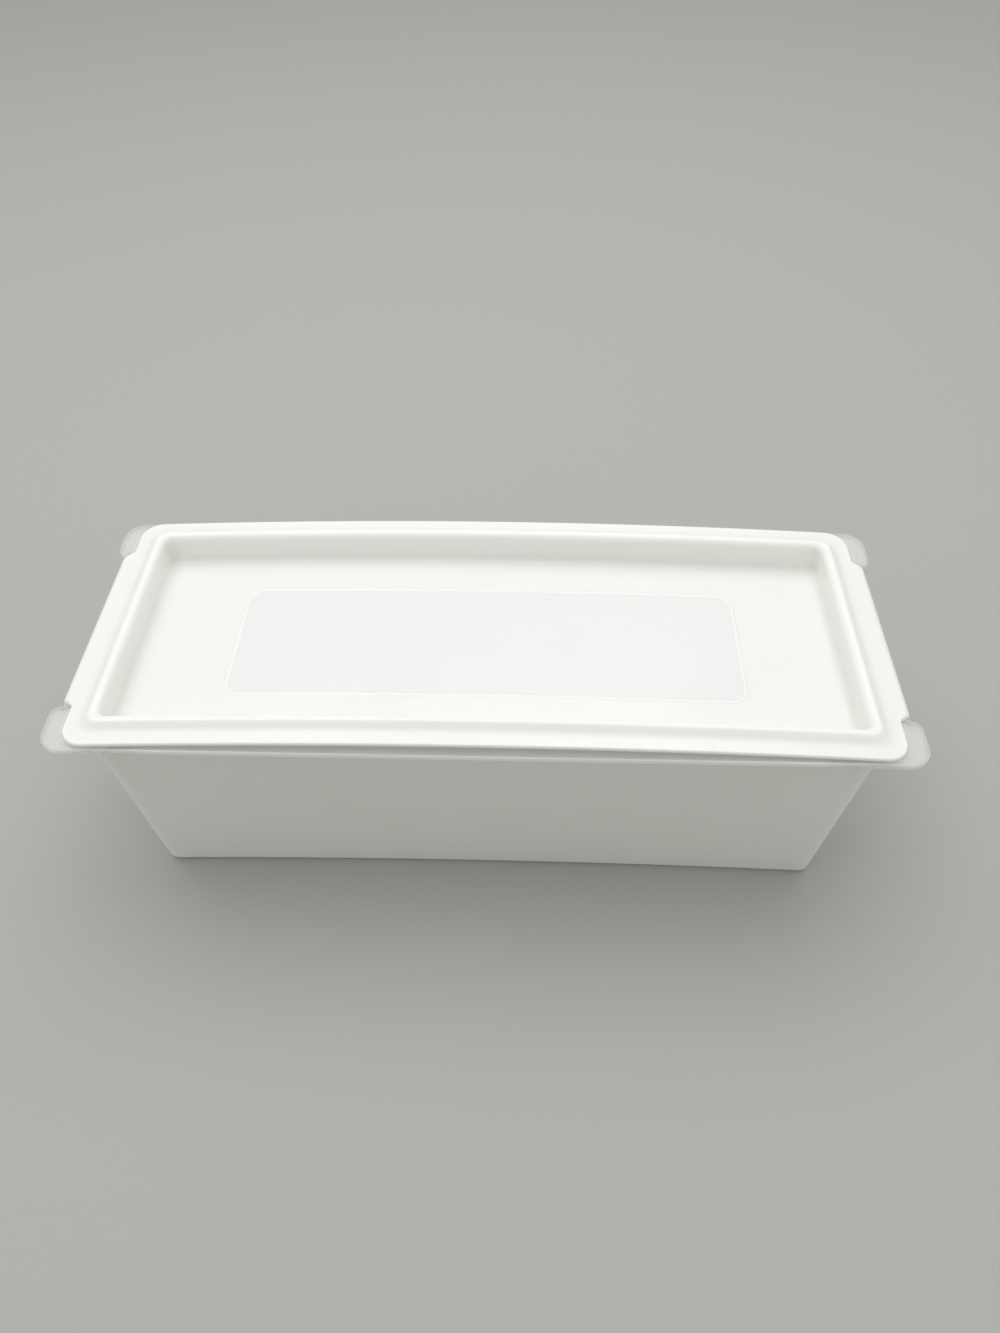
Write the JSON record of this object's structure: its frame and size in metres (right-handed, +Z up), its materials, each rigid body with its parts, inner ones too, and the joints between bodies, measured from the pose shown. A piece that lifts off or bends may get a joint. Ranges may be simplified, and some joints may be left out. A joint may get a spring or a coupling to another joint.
{
  "type": "cheese storage container",
  "caption": "Long tapered plastic food keeper with a flanged, eared rim and a press-on plug lid with a ridge, a sunk panel and end clips.",
  "frame": {"origin": "middle of the flat base, on the surface that the box stands on", "axes": "+X along the box, +Y across it towards the far long side, +Z up"},
  "size_m": [0.2944, 0.1154, 0.0966],
  "materials": {
    "translucent_plastic": "milky translucent polyethylene, soft satin gloss",
    "white_plastic": "milky white polyethylene, soft satin gloss"
  },
  "bodies": {
    "root": {"box": "translucent_plastic", "lid": "white_plastic"}
  },
  "joints": []
}
